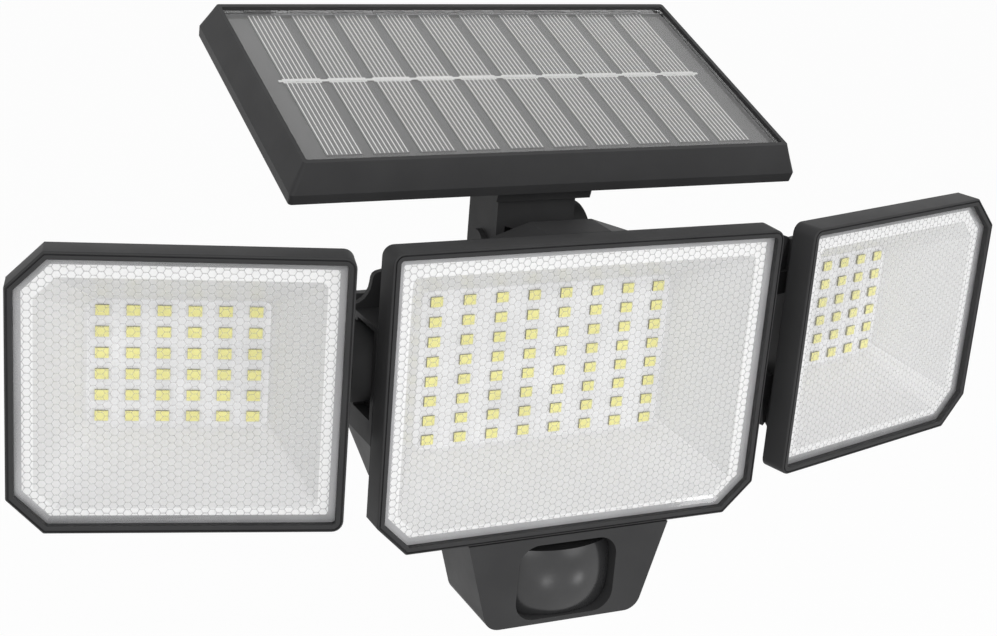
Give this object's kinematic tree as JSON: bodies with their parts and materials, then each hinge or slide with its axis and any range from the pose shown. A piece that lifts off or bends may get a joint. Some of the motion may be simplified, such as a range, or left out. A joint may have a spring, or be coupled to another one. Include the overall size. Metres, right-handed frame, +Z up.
{
  "type": "motion sensor security light",
  "caption": "Black wall light with a fixed middle lamp, hinged side lamps on knuckles, a motion sensor pod below and a tilting solar panel above.",
  "frame": {"origin": "on the wall face of the wall bracket, at the centre of its rectangle of screw holes, 32 mm below the centre of the middle lamp", "axes": "+X right as seen from in front of the light, +Y into the wall, +Z up; the lamps face -Y"},
  "size_m": [0.2998, 0.1266, 0.1545],
  "materials": {
    "black_housing": "fine moulded texture, satin",
    "black_rubber": "soft matt",
    "grey_seal": "soft matt",
    "clear_lens": "clear with a fine honeycomb texture",
    "white_reflector": "smooth white",
    "led_board": "white solder mask",
    "led_chip": "pale yellow resin",
    "sensor_window": "polished dark translucent",
    "sensor_metal": "bright",
    "green_board": "solder mask",
    "cell_wrap": "shrink sleeve over a metal can",
    "holder_plastic": "moulded",
    "steel": "zinc plated",
    "panel_sheet": "laminated backing sheet",
    "solar_cell": "fine-lined cells",
    "tinned_strip": "tinned",
    "panel_glass": "clear flat cover"
  },
  "bodies": {
    "housing": {"front_shell": "black_housing", "rear_shell": "black_housing", "housing_gasket": "black_rubber", "housing_screws": "steel", "pod_cover": "black_housing", "sensor_lens": "sensor_window", "sensor_can": "sensor_metal", "sensor_board": "green_board", "battery_cells": "cell_wrap", "battery_holder": "holder_plastic", "control_board": "green_board", "mode_switch": "black_rubber", "wall_bracket": "black_housing", "bracket_screws": "steel", "middle_frame": "black_housing", "middle_lens": "clear_lens", "middle_lens_seal": "grey_seal", "middle_reflector": "white_reflector", "middle_led_board": "led_board", "middle_leds": "led_chip"},
    "button": {"mode_button": "black_rubber"},
    "left_knuckle": {"left_arm": "black_housing", "left_tilt_bolt": "steel", "left_tilt_washer": "steel"},
    "left_lamp": {"left_frame": "black_housing", "left_lens": "clear_lens", "left_lens_seal": "grey_seal", "left_reflector": "white_reflector", "left_led_board": "led_board", "left_leds": "led_chip", "left_back_cover": "black_housing", "left_swivel_pin": "steel"},
    "right_knuckle": {"right_arm": "black_housing", "right_tilt_bolt": "steel", "right_tilt_washer": "steel"},
    "right_lamp": {"right_frame": "black_housing", "right_lens": "clear_lens", "right_lens_seal": "grey_seal", "right_reflector": "white_reflector", "right_led_board": "led_board", "right_leds": "led_chip", "right_back_cover": "black_housing", "right_swivel_pin": "steel"},
    "solar_panel": {"panel_tray": "black_housing", "cell_sheet": "panel_sheet", "cell_strips": "solar_cell", "busbar": "tinned_strip", "panel_glass": "panel_glass", "panel_bracket": "black_housing", "panel_screws": "steel", "panel_bolt": "black_housing", "panel_knob": "black_housing"}
  },
  "joints": [
    {"name": "left_tilt", "type": "hinge", "parent": "housing", "child": "left_knuckle", "pos_m": [-0.058, -0.101, 0.03654], "axis": [1, 0, 0], "range_deg": [-25, 60]},
    {"name": "left_swivel", "type": "hinge", "parent": "left_knuckle", "child": "left_lamp", "pos_m": [-0.06596, -0.106, 0.03654], "axis": [0, 0, -1], "range_deg": [-15, 45]},
    {"name": "right_tilt", "type": "hinge", "parent": "housing", "child": "right_knuckle", "pos_m": [0.058, -0.101, 0.03654], "axis": [1, 0, 0], "range_deg": [-25, 60]},
    {"name": "right_swivel", "type": "hinge", "parent": "right_knuckle", "child": "right_lamp", "pos_m": [0.06596, -0.106, 0.03654], "axis": [0, 0, 1], "range_deg": [-15, 45]},
    {"name": "panel_tilt", "type": "hinge", "parent": "housing", "child": "solar_panel", "pos_m": [0, -0.079, 0.0596], "axis": [1, 0, 0], "range_deg": [-18, 5]},
    {"name": "button_press", "type": "slide", "parent": "housing", "child": "button", "axis": [0, 0, 1], "range_m": [0, 0.001], "stiffness_N_per_m": 800, "springref_m": -0.0008}
  ]
}
